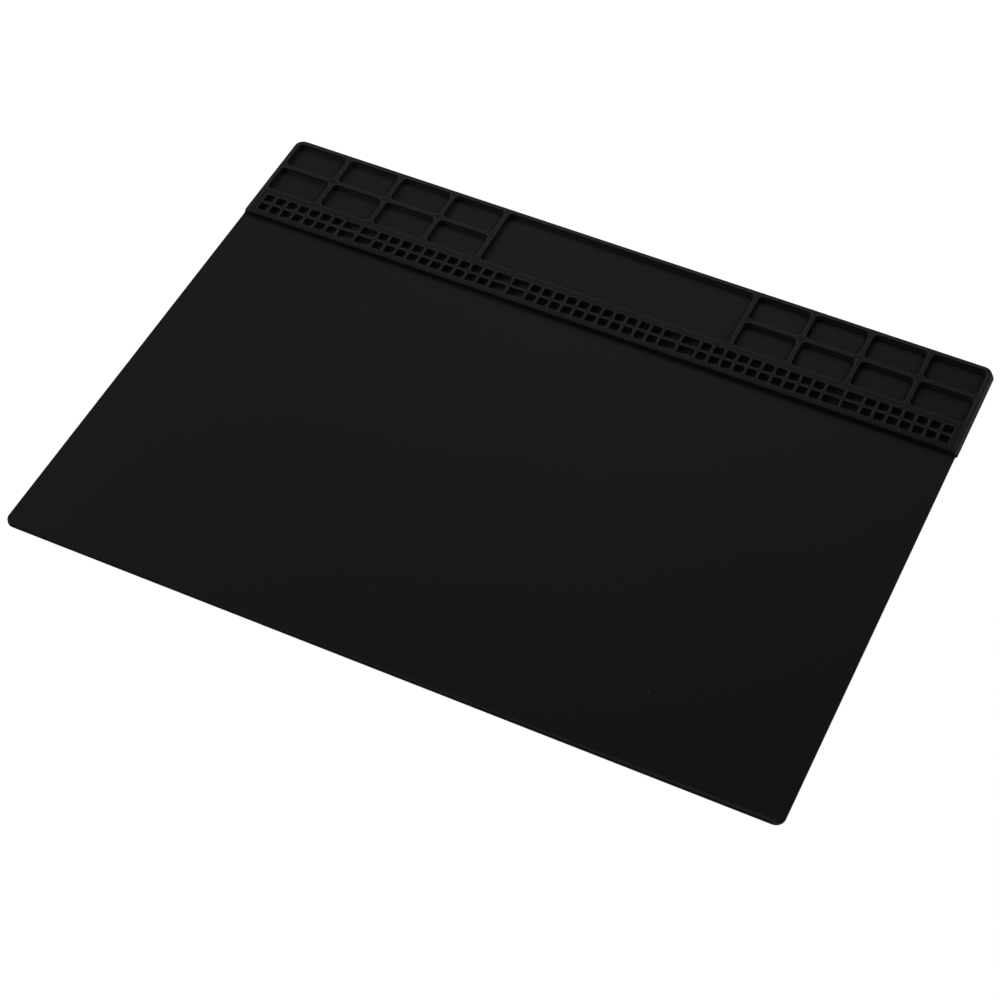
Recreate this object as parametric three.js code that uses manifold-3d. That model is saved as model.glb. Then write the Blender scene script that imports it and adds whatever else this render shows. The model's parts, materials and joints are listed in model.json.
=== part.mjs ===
// A silicone repair mat: one moulded sheet with a raised tray strip along its back edge.
// Millimetres, +Z up. The origin is the middle of the underside.
import * as THREE from "three";
import { mergeVertices } from "three/addons/utils/BufferGeometryUtils.js";
import Module from "manifold-3d";

// Mat and strip
const MAT_WIDTH = 405;
const MAT_DEPTH = 305;
const SHEET_THICKNESS = 1.8;
const STRIP_HEIGHT = 4;
const STRIP_STANDS_PROUD = 0.9;
const STRIP_SIDE_DRAFT = 1.2;
const SHEET_CORNER_RADIUS = 5;
const STRIP_CORNER_RADIUS = 5;
const STRIP_FRONT_CORNER_RADIUS = 1.5;

// Compartments: two rows in a block at each end of the strip, and one tray between the blocks
const COMPARTMENTS_PER_ROW = 4;
const COMPARTMENT_ROWS = 2;
const COMPARTMENT_WIDTH = 29.85;
const COMPARTMENT_DEPTH = 18.9;
const COMPARTMENT_SINK = 2.6;
const COMPARTMENT_WALL = 2.1;
const COMPARTMENT_RADIUS = 2.8;
const SIDE_RIM = 2.2;
const BACK_RIM = 2.3;

// Screw cells: two rows in front of the compartments, laid out from the middle of the strip
const CELL_ROWS = 2;
const CELL_WIDTH = 5.64;
const WIDE_CELL_WIDTH = 9.15;
const CELL_DEPTH = 5.85;
const CELL_SINK = 3;
const CELL_WALL = 1.25;
const CELL_RADIUS = 1;
const CELL_END_RIM = 4.8;
const MIDDLE_GROUP_SIDE = 5;
const NEXT_GROUP = 10;
const WIDE_CELLS_TOGETHER = 2;
const RIM_BEHIND_CELLS = 4.15;
const FRONT_RIM = 3.45;

const OUTER_CORNER_STEPS = 4;
const POCKET_CORNER_STEPS = 2;
const CELL_CORNER_STEPS = 1;
const CUTTER_OVERRUN = 1;
const SHEET_RUNS_UNDER_STRIP = 10;
const MERGE_DISTANCE = 1e-3;

// Sizes that follow
const COMPARTMENT_PITCH = COMPARTMENT_WIDTH + COMPARTMENT_WALL;
const ROW_PITCH = COMPARTMENT_DEPTH + COMPARTMENT_WALL;
const CELL_ROW_PITCH = CELL_DEPTH + CELL_WALL;
const TRAY_DEPTH = COMPARTMENT_ROWS * ROW_PITCH - COMPARTMENT_WALL;
const CELLS_DEPTH = CELL_ROWS * CELL_ROW_PITCH - CELL_WALL;
const STRIP_TOP_DEPTH = BACK_RIM + TRAY_DEPTH + RIM_BEHIND_CELLS + CELLS_DEPTH + FRONT_RIM;
const STRIP_TOP_WIDTH = MAT_WIDTH - 2 * STRIP_SIDE_DRAFT;
const SHEET_WIDTH = MAT_WIDTH - 2 * STRIP_STANDS_PROUD;
const BACK = MAT_DEPTH / 2;
const STRIP_TOP_BACK = BACK - STRIP_SIDE_DRAFT;
const STRIP_FRONT = STRIP_TOP_BACK - STRIP_TOP_DEPTH;
const FIRST_COMPARTMENT_X = STRIP_TOP_WIDTH / 2 - SIDE_RIM;
const TRAY_HALF_WIDTH = FIRST_COMPARTMENT_X - COMPARTMENTS_PER_ROW * COMPARTMENT_PITCH;

const wasm = await Module();
wasm.setup();

// A closed geometry as a manifold-3d solid
function solidOf(geometry) {
  geometry.deleteAttribute("normal");
  geometry.deleteAttribute("uv");
  const merged = mergeVertices(geometry, MERGE_DISTANCE);
  const mesh = new wasm.Mesh({
    numProp: 3,
    vertProperties: merged.attributes.position.array,
    triVerts: new Uint32Array(merged.index.array),
  });
  return new wasm.Manifold(mesh);
}

// A manifold-3d solid as a geometry
function geometryOf(solid) {
  const mesh = solid.getMesh();
  const geometry = new THREE.BufferGeometry();
  geometry.setAttribute("position", new THREE.BufferAttribute(mesh.vertProperties, 3));
  geometry.setIndex(new THREE.BufferAttribute(mesh.triVerts, 1));
  geometry.computeVertexNormals();
  return geometry;
}

// A rectangle between two corners, with its own radius at the front and at the back
function roundedRectangle(left, front, right, back, frontRadius, backRadius) {
  const shape = new THREE.Shape();
  shape.moveTo(left + frontRadius, front);
  shape.lineTo(right - frontRadius, front);
  shape.absarc(right - frontRadius, front + frontRadius, frontRadius, -Math.PI / 2, 0, false);
  shape.lineTo(right, back - backRadius);
  shape.absarc(right - backRadius, back - backRadius, backRadius, 0, Math.PI / 2, false);
  shape.lineTo(left + backRadius, back);
  shape.absarc(left + backRadius, back - backRadius, backRadius, Math.PI / 2, Math.PI, false);
  shape.lineTo(left, front + frontRadius);
  shape.absarc(left + frontRadius, front + frontRadius, frontRadius, Math.PI, 1.5 * Math.PI, false);
  return shape;
}

// A shape raised from one height to another
function block(shape, bottom, top, cornerSteps) {
  const options = { depth: top - bottom, bevelEnabled: false, curveSegments: cornerSteps };
  return new THREE.ExtrudeGeometry(shape, options).translate(0, 0, bottom);
}

// The strip's two ends and its back lean in towards the top, and its front stays upright
function leanSides(geometry) {
  const position = geometry.attributes.position;
  for (let i = 0; i < position.count; i++) {
    const lean = (STRIP_SIDE_DRAFT * position.getZ(i)) / STRIP_HEIGHT;
    const behindFront = position.getY(i) - STRIP_FRONT;
    position.setX(i, position.getX(i) * (1 - lean / (MAT_WIDTH / 2)));
    position.setY(i, STRIP_FRONT + behindFront * (1 - lean / (BACK - STRIP_FRONT)));
  }
  return geometry;
}

function sheetSolid() {
  const half = SHEET_WIDTH / 2;
  const back = STRIP_FRONT + SHEET_RUNS_UNDER_STRIP;
  const outline = roundedRectangle(
    -half, -BACK, half, back, SHEET_CORNER_RADIUS, STRIP_FRONT_CORNER_RADIUS,
  );
  return solidOf(block(outline, -CUTTER_OVERRUN, SHEET_THICKNESS, OUTER_CORNER_STEPS));
}

function stripSolid() {
  const half = MAT_WIDTH / 2;
  const outline = roundedRectangle(
    -half, STRIP_FRONT, half, BACK, STRIP_FRONT_CORNER_RADIUS, STRIP_CORNER_RADIUS,
  );
  return solidOf(leanSides(block(outline, -2 * CUTTER_OVERRUN, STRIP_HEIGHT, OUTER_CORNER_STEPS)));
}

// What lies under the flat underside, to be cut away
function undersideCutter() {
  const depth = 3 * CUTTER_OVERRUN;
  const geometry = new THREE.BoxGeometry(2 * MAT_WIDTH, 2 * MAT_DEPTH, depth);
  return solidOf(geometry.translate(0, 0, -depth / 2));
}

// The cutter of one pocket, by its four sides, how far it sinks and its corners
function pocket(left, front, right, back, sink, radius, cornerSteps) {
  const outline = roundedRectangle(left, front, right, back, radius, radius);
  const top = STRIP_HEIGHT + CUTTER_OVERRUN;
  return solidOf(block(outline, STRIP_HEIGHT - sink, top, cornerSteps));
}

// Compartments at both ends of the strip, and the tray between them
function compartmentCutters() {
  const trayBack = STRIP_TOP_BACK - BACK_RIM;
  const cutters = [
    pocket(-TRAY_HALF_WIDTH, trayBack - TRAY_DEPTH, TRAY_HALF_WIDTH, trayBack,
      COMPARTMENT_SINK, COMPARTMENT_RADIUS, POCKET_CORNER_STEPS),
  ];
  for (let row = 0; row < COMPARTMENT_ROWS; row++) {
    const back = trayBack - row * ROW_PITCH;
    for (let column = 0; column < COMPARTMENTS_PER_ROW; column++) {
      const outer = FIRST_COMPARTMENT_X - column * COMPARTMENT_PITCH;
      const inner = outer - COMPARTMENT_WIDTH;
      for (const [left, right] of [[-outer, -inner], [inner, outer]]) {
        cutters.push(pocket(left, back - COMPARTMENT_DEPTH, right, back,
          COMPARTMENT_SINK, COMPARTMENT_RADIUS, POCKET_CORNER_STEPS));
      }
    }
  }
  return cutters;
}

// The left and right side of each cell in one half of a row, from the middle outwards.
// Square cells come in groups, with wide ones between the groups, up to the end rim.
function cellSpans() {
  const wideAfter = [MIDDLE_GROUP_SIDE, MIDDLE_GROUP_SIDE + NEXT_GROUP];
  const limit = STRIP_TOP_WIDTH / 2 - CELL_END_RIM;
  const spans = [];
  let left = CELL_WIDTH / 2 + CELL_WALL;
  let squares = 0;
  while (left + CELL_WIDTH <= limit) {
    spans.push([left, left + CELL_WIDTH]);
    left += CELL_WIDTH + CELL_WALL;
    squares += 1;
    for (let wide = 0; wideAfter.includes(squares) && wide < WIDE_CELLS_TOGETHER; wide++) {
      if (left + WIDE_CELL_WIDTH > limit) break;
      spans.push([left, left + WIDE_CELL_WIDTH]);
      left += WIDE_CELL_WIDTH + CELL_WALL;
    }
  }
  return spans;
}

function cellCutters() {
  const cutters = [];
  const spans = [[-CELL_WIDTH / 2, CELL_WIDTH / 2]];
  for (const [left, right] of cellSpans()) {
    spans.push([left, right], [-right, -left]);
  }
  for (let row = 0; row < CELL_ROWS; row++) {
    const back = STRIP_TOP_BACK - BACK_RIM - TRAY_DEPTH - RIM_BEHIND_CELLS - row * CELL_ROW_PITCH;
    for (const [left, right] of spans) {
      cutters.push(pocket(left, back - CELL_DEPTH, right, back, CELL_SINK, CELL_RADIUS,
        CELL_CORNER_STEPS));
    }
  }
  return cutters;
}

const silicone = new THREE.MeshStandardMaterial({
  name: "silicone_black",
  color: 0x26272a,
  roughness: 0.75,
  metalness: 0,
});

let solid = sheetSolid().add(stripSolid());
for (const cutter of [undersideCutter(), ...compartmentCutters(), ...cellCutters()]) {
  solid = solid.subtract(cutter);
}
const mat = new THREE.Mesh(geometryOf(solid), silicone);
mat.name = "mat";

const part = new THREE.Group();
part.name = "silicone_repair_mat";
part.add(mat);

export default part;
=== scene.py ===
"""A silicone repair mat, moulded in one piece, for its studio picture. Metres, Z up."""
import json
import math

import bmesh
import bpy
from mathutils import Euler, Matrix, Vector


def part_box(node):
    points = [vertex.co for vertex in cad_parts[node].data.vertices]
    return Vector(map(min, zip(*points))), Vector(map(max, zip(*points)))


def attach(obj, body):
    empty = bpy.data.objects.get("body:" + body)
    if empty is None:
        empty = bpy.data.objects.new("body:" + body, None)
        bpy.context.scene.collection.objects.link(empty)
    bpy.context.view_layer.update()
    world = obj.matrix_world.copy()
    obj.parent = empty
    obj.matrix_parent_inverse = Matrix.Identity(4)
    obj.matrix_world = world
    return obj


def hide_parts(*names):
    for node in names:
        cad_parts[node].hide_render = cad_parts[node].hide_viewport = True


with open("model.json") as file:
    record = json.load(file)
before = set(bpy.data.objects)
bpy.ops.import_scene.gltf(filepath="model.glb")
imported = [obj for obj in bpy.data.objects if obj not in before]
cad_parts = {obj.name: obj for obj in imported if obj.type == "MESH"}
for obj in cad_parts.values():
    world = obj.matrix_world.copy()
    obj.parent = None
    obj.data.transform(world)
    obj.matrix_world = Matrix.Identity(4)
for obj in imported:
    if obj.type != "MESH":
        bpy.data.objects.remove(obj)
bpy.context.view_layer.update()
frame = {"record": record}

MM = 0.001

# The mat and its strip. The overall box and the sheet's top come from the frame.
MAT_LOW, MAT_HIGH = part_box("mat")
MOUNTS = {mount["name"]: mount for mount in frame["record"]["mounts"]}
SHEET_TOP = MOUNTS["work_sheet"]["pos_m"][2]
STRIP_TOP = MAT_HIGH[2]
HALF_WIDTH = MAT_HIGH[0]
BACK = MAT_HIGH[1]
FRONT = MAT_LOW[1]
STRIP_STANDS_PROUD = 0.9 * MM
STRIP_SIDE_DRAFT = 1.2 * MM
SHEET_CORNER_RADIUS = 5 * MM
STRIP_CORNER_RADIUS = 5 * MM
STRIP_FRONT_CORNER_RADIUS = 1.5 * MM

# Compartments in a block at each end of the strip, with the tray between the blocks
COMPARTMENTS_PER_ROW = 4
COMPARTMENT_ROWS = 2
COMPARTMENT_WIDTH = 29.85 * MM
COMPARTMENT_DEPTH = 18.9 * MM
COMPARTMENT_SINK = 2.6 * MM
COMPARTMENT_WALL = 2.1 * MM
COMPARTMENT_RADIUS = 2.8 * MM
SIDE_RIM = 2.2 * MM
BACK_RIM = 2.3 * MM

# Screw cells in two rows, laid out from the middle of the strip
CELL_ROWS = 2
CELL_WIDTH = 5.64 * MM
WIDE_CELL_WIDTH = 9.15 * MM
CELL_DEPTH = 5.85 * MM
CELL_SINK = 3 * MM
CELL_WALL = 1.25 * MM
CELL_RADIUS = 1 * MM
CELL_GROUPS = (5, 10, 7)
WIDE_CELLS_TOGETHER = 2
RIM_BEHIND_CELLS = 4.15 * MM
FRONT_RIM = 3.45 * MM

# Roundings of the moulded edges
OUTER_EDGE_ROUND = 0.35 * MM
POCKET_EDGE_ROUND = 0.35 * MM
CELL_EDGE_ROUND = 0.3 * MM
FLOOR_ROUND = 1.0 * MM
CELL_FLOOR_ROUND = 0.6 * MM
WALL_DRAFT = 0.2 * MM
POCKET_BAND = 0.45 * MM
CELL_BAND = 0.3 * MM
EDGE_STEPS = 3
OUTER_CORNER_STEPS = 10
POCKET_CORNER_STEPS = 6
CELL_CORNER_STEPS = 3
SHARP_ANGLE = math.radians(50)
SAME_PLACE = 1e-7

# Sizes that follow
COMPARTMENT_PITCH = COMPARTMENT_WIDTH + COMPARTMENT_WALL
COMPARTMENT_ROW_PITCH = COMPARTMENT_DEPTH + COMPARTMENT_WALL
CELL_ROW_PITCH = CELL_DEPTH + CELL_WALL
STRIP_TOP_BACK = BACK - STRIP_SIDE_DRAFT
TRAY_BACK = STRIP_TOP_BACK - BACK_RIM
TRAY_DEPTH = COMPARTMENT_ROWS * COMPARTMENT_ROW_PITCH - COMPARTMENT_WALL
CELLS_BACK = TRAY_BACK - TRAY_DEPTH - RIM_BEHIND_CELLS
CELLS_FRONT = CELLS_BACK - CELL_ROWS * CELL_ROW_PITCH + CELL_WALL
STRIP_FRONT = CELLS_FRONT - FRONT_RIM
STRIP_MIDDLE = (STRIP_FRONT + BACK) / 2
STRIP_TOP_SIDE = HALF_WIDTH - STRIP_SIDE_DRAFT
OUTER_COMPARTMENT_SIDE = STRIP_TOP_SIDE - SIDE_RIM
TRAY_HALF_WIDTH = OUTER_COMPARTMENT_SIDE - COMPARTMENTS_PER_ROW * COMPARTMENT_PITCH
COMPARTMENT_FLOOR = STRIP_TOP - COMPARTMENT_SINK
CELL_FLOOR = STRIP_TOP - CELL_SINK

# Both blocks start below the underside and are cut off there. The sheet stops inside the strip's
# front rim, so it doesn't fill the cells.
SHEET_STARTS = -1 * MM
STRIP_STARTS = -2 * MM
SHEET_RUNS_UNDER_STRIP = 2 * MM

# Finish of the silicone, with painted light and shade in its colour. The reaches say how far from a pocket's
# walls its floor is darker, as painted shade.
SHEET_COLOUR = (0.020, 0.020, 0.0205, 1)
# Painted shade: the pockets' floors go darker towards their walls, standing in for shadow.
SHADED_COLOUR = (0.002, 0.002, 0.00205, 1)
# Painted light: the pockets' walls are paler towards their foot.
WALL_PAINTED_LIGHT_COLOUR = (0.045, 0.045, 0.046, 1)
# Painted light: the screw cells are paler inside, standing in for light reaching into them.
CELL_PAINTED_LIGHT_COLOUR = (0.05, 0.05, 0.051, 1)
MOTTLE_COLOUR = (0.030, 0.030, 0.0307, 1)
# Painted highlight on the rims of the pockets, and a share of it on the strip's ends and back.
RIM_HIGHLIGHT_COLOUR = (0.075, 0.075, 0.0765, 1)
SHADE_REACH = 4.5 * MM
BACK_SHADE_REACH = 1.5 * MM
# Share of the painted rim highlight on the strip's ends and back.
OUTER_RIM_HIGHLIGHT_SHARE = 0.3
DUST_COLOUR = (0.12, 0.12, 0.12, 1)
DUST_PLACES = ((-111 * MM, 52 * MM), (-23 * MM, 4 * MM), (69 * MM, -121 * MM), (120 * MM, -111 * MM))
DUST_RADIUS = 0.6 * MM
MOTTLE_SCALE = 12
MOTTLE_DETAIL = 3
MOTTLE_SHARE = 0.25
GRAIN_SCALE = 2500
GRAIN_DETAIL = 2
GRAIN_HEIGHT = 0.02 * MM
GRAIN_STRENGTH = 0.5
NOISE_ROUGHNESS = 0.6
SILICONE_ROUGHNESS = 0.5
ROUGHNESS_SPREAD = 0.1
SILICONE_GLOSS = 0.1

# The mesh's own measure of a pocket's rim, where the painted highlight goes: 1 on its flat band, going to 0
# over its rounding
RIM = "rim"

# Which output of a Texture Coordinate node gives what. In the world, the first is the direction.
DIRECTION = 0
OBJECT_COORDINATES = 3

# Finish of the studio floor
WHITE = (1, 1, 1, 1)
FLOOR_COLOUR = (0.1, 0.1, 0.1, 1)
FLOOR_SHADE_COLOUR = (0.08, 0.08, 0.08, 1)
FLOOR_SHADE_SCALE = 3
FLOOR_SHADE_DETAIL = 2
FLOOR_SHADE_SHARE = 0.2
FLOOR_ROUGHNESS = 0.9
FLOOR_GLOSS = 0.1
FLOOR_GLOW = 1.0

# Camera: place in metres, turn in degrees, lens in millimetres
CAMERA_PLACE = (334.48 * MM, -756.36 * MM, 938.14 * MM)
CAMERA_TURN = (40.166, -0.691, 25.107)
CAMERA_LENS = 90.20
CAMERA_SEES_TO = 20

# Studio. The table that shows in the mat's gloss is paler to the right: the start and the end of
# that change are how far a direction points to the right, from 0 to 1.
FLOOR_HALF = 6.0
FLOOR_DROP = 0.05 * MM
TENT_GLOW = 0.05
TABLE_GLOW = 0.2
RIGHT_TABLE_GLOW = 0.5
RIGHT_TABLE_STARTS = 0.1
RIGHT_TABLE_ENDS = 0.5
HORIZON_BLUR = 0.05
LIGHTS_AIM = (-0.05, 0.05, 0)
SUN_SPREAD = math.radians(40)

# Soft boxes: place, size and power
SOFT_BOXES = {
    "back_box": ((-0.15, 0.72, 0.58), 0.6, 1.4),
    "left_box": ((-0.8, 0.1, 0.5), 0.6, 1.7),
}

# Wide soft lights from far off: azimuth from the right, elevation and power
SOFT_SUNS = {
    "front_left_sun": (225, 18, 0.2),
    "right_sun": (0, 18, 0.114),
}


def block(bm, left, front, right, back, bottom, top):
    """A box between two corners."""
    verts = bmesh.ops.create_cube(bm, size=1)["verts"]
    bmesh.ops.scale(bm, vec=(right - left, back - front, top - bottom), verts=verts)
    middle = ((left + right) / 2, (front + back) / 2, (bottom + top) / 2)
    bmesh.ops.translate(bm, vec=middle, verts=verts)


def is_upright(edge):
    """True for a vertical edge."""
    a, b = edge.verts
    return (a.co.xy - b.co.xy).length < SAME_PLACE


def round_uprights(bm, radius, where):
    """Round the vertical edges for which where(place) is true."""
    edges = [e for e in bm.edges if is_upright(e) and where(e.verts[0].co)]
    bmesh.ops.bevel(
        bm, geom=edges, offset=radius, segments=OUTER_CORNER_STEPS, profile=0.5, affect="EDGES", material=-1
    )


def top_face(bm, height):
    """The one face that lies flat at a height."""
    return next(f for f in bm.faces if all(abs(v.co.z - height) < SAME_PLACE for v in f.verts))


def round_top(bm, height):
    """Round the outline of the flat top at a height."""
    bmesh.ops.bevel(
        bm,
        geom=list(top_face(bm, height).edges),
        offset=OUTER_EDGE_ROUND,
        segments=EDGE_STEPS,
        profile=0.5,
        affect="EDGES",
        material=-1,
    )


def rounded_faces(bm, places, radius, steps):
    """Flat faces with rounded corners on top of the strip, one for each (left, front, right, back)."""
    others = set(bm.faces)
    corners = []
    for left, front, right, back in places:
        verts = bmesh.ops.create_grid(bm, x_segments=1, y_segments=1, size=0.5)["verts"]
        bmesh.ops.scale(bm, vec=(right - left, back - front, 1), verts=verts)
        bmesh.ops.translate(bm, vec=((left + right) / 2, (front + back) / 2, STRIP_TOP), verts=verts)
        corners += verts
    bmesh.ops.bevel(
        bm, geom=corners, offset=radius, segments=steps, profile=0.5, affect="VERTICES", material=-1
    )
    return [face for face in bm.faces if face not in others]


def quarter_round(radius, over):
    """Steps of (inwards, down) along a quarter circle that turns over an edge, or out of a wall."""
    angles = [i * math.pi / 2 / EDGE_STEPS for i in range(EDGE_STEPS + 1)]
    if over:
        points = [(radius * math.sin(a), radius * (1 - math.cos(a))) for a in angles]
    else:
        points = [(radius * (1 - math.cos(a)), radius * math.sin(a)) for a in angles]
    return [(b[0] - a[0], b[1] - a[1]) for a, b in zip(points, points[1:])]


def sink(bm, faces, depth, band, edge_round, floor_round):
    """Sink each face into a pocket: a flat band, a rounded rim, a wall and a rounded floor edge."""
    # Each ring's measure of the rim, where the painted highlight goes.
    rim = bm.verts.layers.float[RIM]
    wall = depth - edge_round - floor_round
    steps = [(band, 0, 1)]
    for i, (inwards, down) in enumerate(quarter_round(edge_round, True)):
        steps.append((inwards, down, 1 - (i + 1) / EDGE_STEPS))
    steps += [(WALL_DRAFT, wall, 0)]
    steps += [(inwards, down, 0) for inwards, down in quarter_round(floor_round, False)]
    for inwards, down, on_rim in steps:
        bmesh.ops.inset_individual(bm, faces=faces, thickness=inwards, depth=-down, use_even_offset=True)
        for face in faces:
            for vert in face.verts:
                vert[rim] = on_rim


def compartment_places():
    """(left, front, right, back) of the tray and of every compartment."""
    places = [(-TRAY_HALF_WIDTH, TRAY_BACK - TRAY_DEPTH, TRAY_HALF_WIDTH, TRAY_BACK)]
    for row in range(COMPARTMENT_ROWS):
        back = TRAY_BACK - row * COMPARTMENT_ROW_PITCH
        front = back - COMPARTMENT_DEPTH
        for column in range(COMPARTMENTS_PER_ROW):
            outer = OUTER_COMPARTMENT_SIDE - column * COMPARTMENT_PITCH
            inner = outer - COMPARTMENT_WIDTH
            places.append((inner, front, outer, back))
            places.append((-outer, front, -inner, back))
    return places


def cell_widths():
    """Widths of the cells in one half of a row, from the middle outwards."""
    first, *others = CELL_GROUPS
    widths = [CELL_WIDTH] * first
    for count in others:
        widths += [WIDE_CELL_WIDTH] * WIDE_CELLS_TOGETHER + [CELL_WIDTH] * count
    return widths


def cell_places():
    """(left, front, right, back) of every screw cell."""
    spans = [(-CELL_WIDTH / 2, CELL_WIDTH / 2)]
    left = CELL_WIDTH / 2 + CELL_WALL
    for width in cell_widths():
        spans += [(left, left + width), (-left - width, -left)]
        left += width + CELL_WALL
    places = []
    for row in range(CELL_ROWS):
        back = CELLS_BACK - row * CELL_ROW_PITCH
        places += [(a, back - CELL_DEPTH, b, back) for a, b in spans]
    return places


def grown(places, by):
    """Places made larger on all four sides."""
    return [(left - by, front - by, right + by, back + by) for left, front, right, back in places]


def lean_sides(bm):
    """Lean the strip's ends and back in towards the top. Its front stays upright."""
    for vert in bm.verts:
        lean = STRIP_SIDE_DRAFT * vert.co.z / STRIP_TOP
        behind_front = vert.co.y - STRIP_FRONT
        vert.co.x *= 1 - lean / HALF_WIDTH
        vert.co.y = STRIP_FRONT + behind_front * (1 - lean / (BACK - STRIP_FRONT))


def strip_mesh():
    """The raised strip with its pockets."""
    bm = bmesh.new()
    bm.verts.layers.float.new(RIM)
    block(bm, -HALF_WIDTH, STRIP_FRONT, HALF_WIDTH, BACK, STRIP_STARTS, STRIP_TOP)
    round_uprights(bm, STRIP_CORNER_RADIUS, lambda place: place.y > STRIP_MIDDLE)
    round_uprights(bm, STRIP_FRONT_CORNER_RADIUS, lambda place: place.y < STRIP_MIDDLE)
    lean_sides(bm)
    round_top(bm, STRIP_TOP)
    top = top_face(bm, STRIP_TOP)
    rims = list(top.edges)
    bmesh.ops.delete(bm, geom=[top], context="FACES_ONLY")

    pocket_grows = POCKET_EDGE_ROUND / 2 + POCKET_BAND
    cell_grows = CELL_EDGE_ROUND / 2 + CELL_BAND
    tray_mouths = grown(compartment_places(), pocket_grows)
    trays = rounded_faces(bm, tray_mouths, COMPARTMENT_RADIUS + pocket_grows, POCKET_CORNER_STEPS)
    cell_mouths = grown(cell_places(), cell_grows)
    cells = rounded_faces(bm, cell_mouths, CELL_RADIUS + cell_grows, CELL_CORNER_STEPS)
    for face in trays + cells:
        rims += face.edges
    bmesh.ops.triangle_fill(bm, use_beauty=True, edges=rims, normal=(0, 0, 1))
    sink(bm, trays, COMPARTMENT_SINK, POCKET_BAND, POCKET_EDGE_ROUND, FLOOR_ROUND)
    sink(bm, cells, CELL_SINK, CELL_BAND, CELL_EDGE_ROUND, CELL_FLOOR_ROUND)
    return bm


def sheet_mesh():
    """The plain work sheet, which runs a little way under the strip."""
    bm = bmesh.new()
    bm.verts.layers.float.new(RIM)
    half = HALF_WIDTH - STRIP_STANDS_PROUD
    back = STRIP_FRONT + SHEET_RUNS_UNDER_STRIP
    block(bm, -half, FRONT, half, back, SHEET_STARTS, SHEET_TOP)
    round_uprights(bm, SHEET_CORNER_RADIUS, lambda place: place.y < 0)
    round_top(bm, SHEET_TOP)
    return bm


def to_object(bm, name):
    """A bmesh as an object in the scene."""
    bmesh.ops.recalc_face_normals(bm, faces=bm.faces)
    mesh = bpy.data.meshes.new(name)
    bm.to_mesh(mesh)
    bm.free()
    made = bpy.data.objects.new(name, mesh)
    bpy.context.scene.collection.objects.link(made)
    return made


def fuse(first, second):
    """Fuse the second object into the first, and remove the second."""
    union = first.modifiers.new("fuse", "BOOLEAN")
    union.operation = "UNION"
    union.solver = "EXACT"
    union.object = second
    shown = first.evaluated_get(bpy.context.evaluated_depsgraph_get())
    mesh = bpy.data.meshes.new_from_object(shown)
    first.modifiers.clear()
    first.data = mesh
    bpy.data.objects.remove(second)


def cut_flat(piece):
    """Cut off what lies below the underside, and close it."""
    bm = bmesh.new()
    bm.from_mesh(piece.data)
    everything = [*bm.verts, *bm.edges, *bm.faces]
    cut = bmesh.ops.bisect_plane(
        bm, geom=everything, plane_co=(0, 0, 0), plane_no=(0, 0, 1), clear_inner=True
    )["geom_cut"]
    edges = [e for e in cut if isinstance(e, bmesh.types.BMEdge)]
    bmesh.ops.edgeloop_fill(bm, edges=edges)
    bmesh.ops.recalc_face_normals(bm, faces=bm.faces)
    bm.to_mesh(piece.data)
    bm.free()


class Value:
    """A number that varies over a surface. Arithmetic on it adds Math nodes."""

    def __init__(self, look, socket):
        self.look = look
        self.socket = socket

    def _maths(self, operation, first, second):
        return self.look.node("ShaderNodeMath", {"operation": operation}, {0: first, 1: second})

    def __add__(self, other):
        return self._maths("ADD", self, other)

    def __radd__(self, other):
        return self._maths("ADD", other, self)

    def __sub__(self, other):
        return self._maths("SUBTRACT", self, other)

    def __rsub__(self, other):
        return self._maths("SUBTRACT", other, self)

    def __mul__(self, other):
        return self._maths("MULTIPLY", self, other)

    def __rmul__(self, other):
        return self._maths("MULTIPLY", other, self)

    def __mod__(self, other):
        return self._maths("FLOORED_MODULO", self, other)

    def __gt__(self, other):
        return self._maths("GREATER_THAN", self, other)

    def __lt__(self, other):
        return self._maths("LESS_THAN", self, other)

    def __abs__(self):
        return self._maths("ABSOLUTE", self, 0)

    def lesser(self, other):
        return self._maths("MINIMUM", self, other)


class Look:
    """The nodes of one material, or of the world."""

    def __init__(self, owner):
        owner.use_nodes = True
        self.tree = owner.node_tree
        self.tree.nodes.clear()

    def node(self, kind, settings=None, inputs=None, output=0):
        """Add a node: its settings first, then the values or links of its sockets."""
        node = self.tree.nodes.new(kind)
        for name, value in (settings or {}).items():
            setattr(node, name, value)
        for key, value in (inputs or {}).items():
            if isinstance(value, Value):
                self.tree.links.new(value.socket, node.inputs[key])
            else:
                node.inputs[key].default_value = value
        return Value(self, node.outputs[output]) if len(node.outputs) else None

    def noise(self, place, scale, detail):
        """Noise from 0 to 1 over the surface."""
        inputs = {"Vector": place, "Scale": scale, "Detail": detail, "Roughness": NOISE_ROUGHNESS}
        return self.node("ShaderNodeTexNoise", {}, inputs)

    def ramp(self, value, low, high):
        """0 below low and 1 above high, with a smooth rise between."""
        settings = {"interpolation_type": "SMOOTHSTEP"}
        return self.node("ShaderNodeMapRange", settings, {"Value": value, "From Min": low, "From Max": high})

    def blend(self, share, first, second):
        """The first colour, going over to the second as share goes to 1."""
        inputs = {"Factor": share, 6: first, 7: second}
        return self.node("ShaderNodeMix", {"data_type": "RGBA"}, inputs, output=2)

    def surface(self, inputs):
        """The material's shader, by its sockets' names."""
        shader = self.node("ShaderNodeBsdfPrincipled", {}, inputs)
        self.node("ShaderNodeOutputMaterial", {}, {"Surface": shader})

    def background(self, colour, strength):
        """The world's shader."""
        shader = self.node("ShaderNodeBackground", {}, {"Color": colour, "Strength": strength})
        self.node("ShaderNodeOutputWorld", {}, {"Surface": shader})


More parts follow.
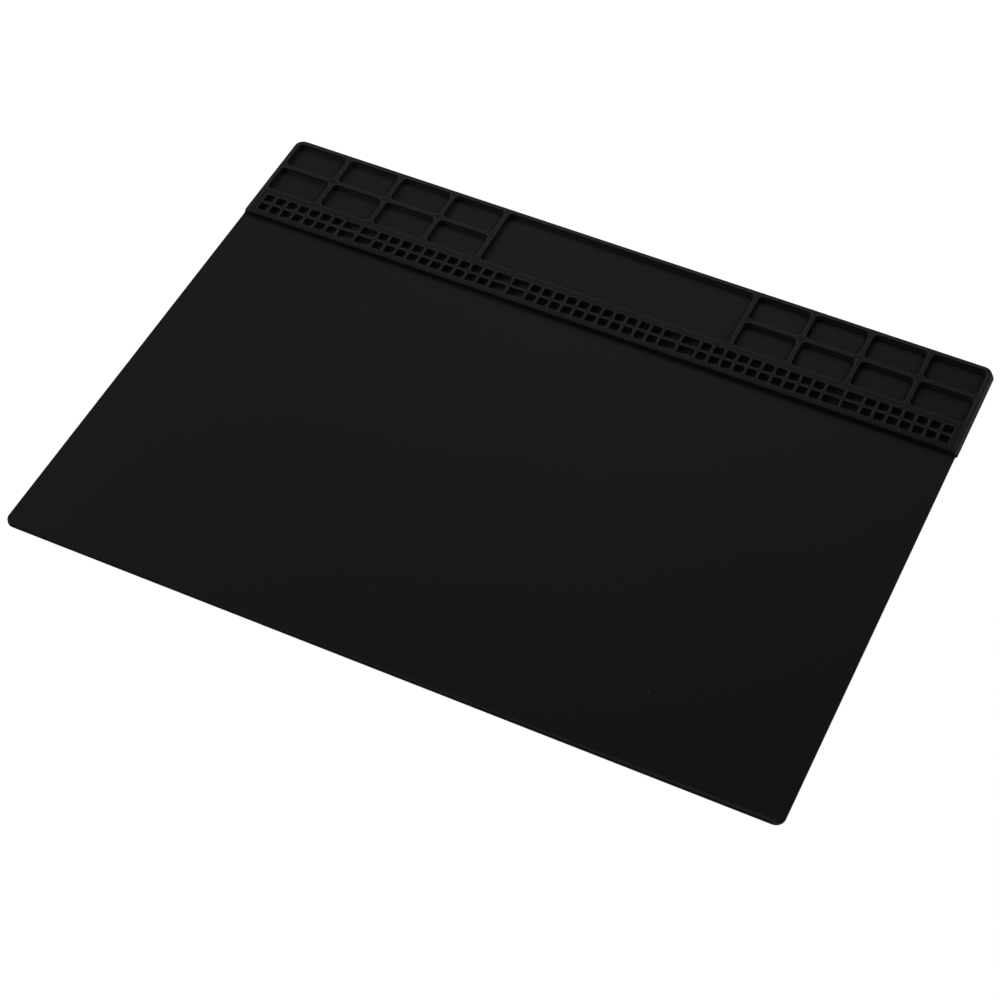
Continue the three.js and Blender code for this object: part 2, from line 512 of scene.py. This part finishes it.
def pocket_areas(across, along):
    """Two masks: 1 over the compartments and the tray, and 1 over the screw cells."""
    on_strip = (along > STRIP_FRONT + FRONT_RIM / 2) * (along < BACK - BACK_RIM / 2)
    on_strip = on_strip * (abs(across) < STRIP_TOP_SIDE - SIDE_RIM / 2)
    over_cells = on_strip * (along < CELLS_BACK + RIM_BEHIND_CELLS / 2)
    return on_strip - over_cells, over_cells


def outer_rim_highlight(across, along, height):
    """1 on the strip outside its pockets, at its two ends and its back, where a share of the painted rim
    highlight goes.
    """
    inside = (abs(across) < OUTER_COMPARTMENT_SIDE) * (along < TRAY_BACK)
    return (1 - inside) * (height > SHEET_TOP) * (along > STRIP_FRONT)


def from_walls(across, pitch, width):
    """Distance to the nearer wall of a row of pockets, from a distance across the row."""
    into = across % pitch
    return into.lesser(width - into)


def floor_shade(look, across, along, height):
    """1 at the edge of the floors of the compartments and the tray, falling to 0 further in: where painted
    shade darkens the floors.
    """
    outwards = abs(across)
    inwards = OUTER_COMPARTMENT_SIDE - outwards
    forwards = TRAY_BACK - along
    squeeze = SHADE_REACH / BACK_SHADE_REACH
    columns = from_walls(inwards, COMPARTMENT_PITCH, COMPARTMENT_WIDTH)
    rows = from_walls(forwards, COMPARTMENT_ROW_PITCH, COMPARTMENT_DEPTH)
    compartment = columns.lesser(squeeze * rows)
    tray = (TRAY_HALF_WIDTH - outwards).lesser(squeeze * forwards)
    tray = tray.lesser(squeeze * (TRAY_DEPTH - forwards))
    in_tray = outwards < TRAY_HALF_WIDTH + COMPARTMENT_WALL / 2
    gap = in_tray * tray + (1 - in_tray) * compartment
    near_floor = 1 - look.ramp(height, COMPARTMENT_FLOOR, COMPARTMENT_FLOOR + FLOOR_ROUND)
    return near_floor * (1 - look.ramp(gap, 0, SHADE_REACH))


def painted_wall_light(look, height):
    """1 at the foot of the walls of the compartments and the tray, falling to 0 at their rims: where the
    walls are painted paler, as painted light.
    """
    foot = look.ramp(height, COMPARTMENT_FLOOR, COMPARTMENT_FLOOR + FLOOR_ROUND)
    return foot * (1 - look.ramp(height, COMPARTMENT_FLOOR + FLOOR_ROUND, STRIP_TOP - POCKET_EDGE_ROUND))


def dust(look, place):
    """1 in the middle of each speck of dust on the sheet, falling to 0 at its edge."""
    specks = 0
    for x, y in DUST_PLACES:
        inputs = {0: place, 1: (x, y, SHEET_TOP)}
        away = look.node("ShaderNodeVectorMath", {"operation": "DISTANCE"}, inputs, output=1)
        specks = specks + (1 - look.ramp(away, 0, DUST_RADIUS))
    return specks


def silicone_colour(look, place, mottle):
    """The silicone's black, with pale dust, painted highlights on the rims, painted light that makes the
    walls and the cells paler, and painted shade at the edges of the pockets' floors.
    """
    across, along, height = [look.node("ShaderNodeSeparateXYZ", {}, {0: place}, output=i) for i in range(3)]
    in_pockets, in_cells = pocket_areas(across, along)
    colour = look.blend(MOTTLE_SHARE * mottle, SHEET_COLOUR, MOTTLE_COLOUR)
    # Painted shade at the edges of the pockets' floors.
    colour = look.blend(in_pockets * floor_shade(look, across, along, height), colour, SHADED_COLOUR)
    # Painted light on the pockets' walls.
    colour = look.blend(in_pockets * painted_wall_light(look, height), colour, WALL_PAINTED_LIGHT_COLOUR)
    # Painted light inside the screw cells.
    below_rim = 1 - look.ramp(height, CELL_FLOOR, STRIP_TOP - CELL_EDGE_ROUND)
    colour = look.blend(in_cells * below_rim, colour, CELL_PAINTED_LIGHT_COLOUR)
    # Painted highlight on the strip's ends and back.
    colour = look.blend(OUTER_RIM_HIGHLIGHT_SHARE * outer_rim_highlight(across, along, height), colour, RIM_HIGHLIGHT_COLOUR)
    # Painted highlight on the pockets' rims.
    rim = look.node("ShaderNodeAttribute", {"attribute_name": RIM}, output=2)
    colour = look.blend(rim, colour, RIM_HIGHLIGHT_COLOUR)
    return look.blend(dust(look, place), colour, DUST_COLOUR)


def black_silicone():
    """Matte black moulded silicone, with a fine grain and a faint mottle."""
    material = bpy.data.materials.new("black_silicone")
    look = Look(material)
    place = look.node("ShaderNodeTexCoord", output=OBJECT_COORDINATES)
    mottle = look.noise(place, MOTTLE_SCALE, MOTTLE_DETAIL)
    grain = look.noise(place, GRAIN_SCALE, GRAIN_DETAIL)
    bump = {"Strength": GRAIN_STRENGTH, "Distance": GRAIN_HEIGHT, "Height": grain}
    look.surface({
        "Base Color": silicone_colour(look, place, mottle),
        "Roughness": SILICONE_ROUGHNESS + ROUGHNESS_SPREAD * mottle,
        "Specular IOR Level": SILICONE_GLOSS,
        "Normal": look.node("ShaderNodeBump", {}, bump),
    })
    return material


def pale_floor():
    """A white studio floor that glows as a light table does, faintly clouded."""
    material = bpy.data.materials.new("pale_floor")
    look = Look(material)
    place = look.node("ShaderNodeTexCoord", output=OBJECT_COORDINATES)
    clouds = FLOOR_SHADE_SHARE * look.noise(place, FLOOR_SHADE_SCALE, FLOOR_SHADE_DETAIL)
    look.surface({
        "Base Color": look.blend(clouds, FLOOR_COLOUR, FLOOR_SHADE_COLOUR),
        "Roughness": FLOOR_ROUGHNESS,
        "Specular IOR Level": FLOOR_GLOSS,
        "Emission Color": WHITE,
        "Emission Strength": FLOOR_GLOW,
    })
    return material


def make_mat():
    """The whole mat as one closed piece."""
    mat = to_object(strip_mesh(), "repair_mat")
    fuse(mat, to_object(sheet_mesh(), "sheet"))
    cut_flat(mat)
    mat.data.shade_smooth()
    mat.data.set_sharp_from_angle(angle=SHARP_ANGLE)
    weighted = mat.modifiers.new("even_shading", "WEIGHTED_NORMAL")
    weighted.keep_sharp = True
    mat.data.materials.clear()
    mat.data.materials.append(black_silicone())
    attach(mat, "root")
    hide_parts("mat")


def make_floor():
    """A wide pale floor just under the mat. It is seen, but neither lights the mat nor shows in its gloss."""
    bm = bmesh.new()
    bmesh.ops.create_grid(bm, x_segments=1, y_segments=1, size=FLOOR_HALF)
    bmesh.ops.translate(bm, vec=(0, 0, -FLOOR_DROP), verts=bm.verts)
    floor = to_object(bm, "studio_floor")
    floor.data.materials.append(pale_floor())
    floor.visible_diffuse = False
    floor.visible_glossy = False
    floor.visible_shadow = False


def soft_light(name, place, aim, size, power):
    """A square soft box at a place, facing another."""
    lamp = bpy.data.lights.new(name, "AREA")
    lamp.size = size
    lamp.energy = power
    box = bpy.data.objects.new(name, lamp)
    box.location = place
    box.rotation_euler = (Vector(aim) - Vector(place)).to_track_quat("-Z", "Y").to_euler()
    bpy.context.scene.collection.objects.link(box)


def soft_sun(name, azimuth, elevation, power):
    """A wide soft light from far off, by its azimuth from the right and its elevation."""
    lamp = bpy.data.lights.new(name, "SUN")
    lamp.angle = SUN_SPREAD
    lamp.energy = power
    sun = bpy.data.objects.new(name, lamp)
    turn, rise = math.radians(azimuth), math.radians(elevation)
    towards = Vector((math.cos(turn) * math.cos(rise), math.sin(turn) * math.cos(rise), math.sin(rise)))
    sun.rotation_euler = (-towards).to_track_quat("-Z", "Y").to_euler()
    bpy.context.scene.collection.objects.link(sun)


def make_surround():
    """A dim tent above, and the paler table below, which shows in the gloss of the mat's sides."""
    world = bpy.data.worlds.new("surround")
    look = Look(world)
    direction = look.node("ShaderNodeTexCoord", output=DIRECTION)
    across = look.node("ShaderNodeSeparateXYZ", {}, {0: direction}, output=0)
    height = look.node("ShaderNodeSeparateXYZ", {}, {0: direction}, output=2)
    above = look.ramp(height, -HORIZON_BLUR, HORIZON_BLUR)
    on_right = look.ramp(across, RIGHT_TABLE_STARTS, RIGHT_TABLE_ENDS)
    table = TABLE_GLOW + (RIGHT_TABLE_GLOW - TABLE_GLOW) * on_right
    look.background(WHITE, TENT_GLOW * above + table * (1 - above))
    bpy.context.scene.world = world


def make_studio():
    """The surround and all the soft lights, with colours shown as they are."""
    make_surround()
    for name, (place, size, power) in SOFT_BOXES.items():
        soft_light(name, place, LIGHTS_AIM, size, power)
    for name, (azimuth, elevation, power) in SOFT_SUNS.items():
        soft_sun(name, azimuth, elevation, power)
    bpy.context.scene.view_settings.view_transform = "Standard"


def make_camera():
    """A long lens, looking down at the mat from its front right."""
    lens = bpy.data.cameras.new("camera")
    lens.lens = CAMERA_LENS
    lens.clip_end = CAMERA_SEES_TO
    camera = bpy.data.objects.new("camera", lens)
    camera.location = CAMERA_PLACE
    camera.rotation_euler = Euler([math.radians(a) for a in CAMERA_TURN])
    bpy.context.scene.collection.objects.link(camera)
    bpy.context.scene.camera = camera


make_camera()
make_mat()
make_floor()
make_studio()
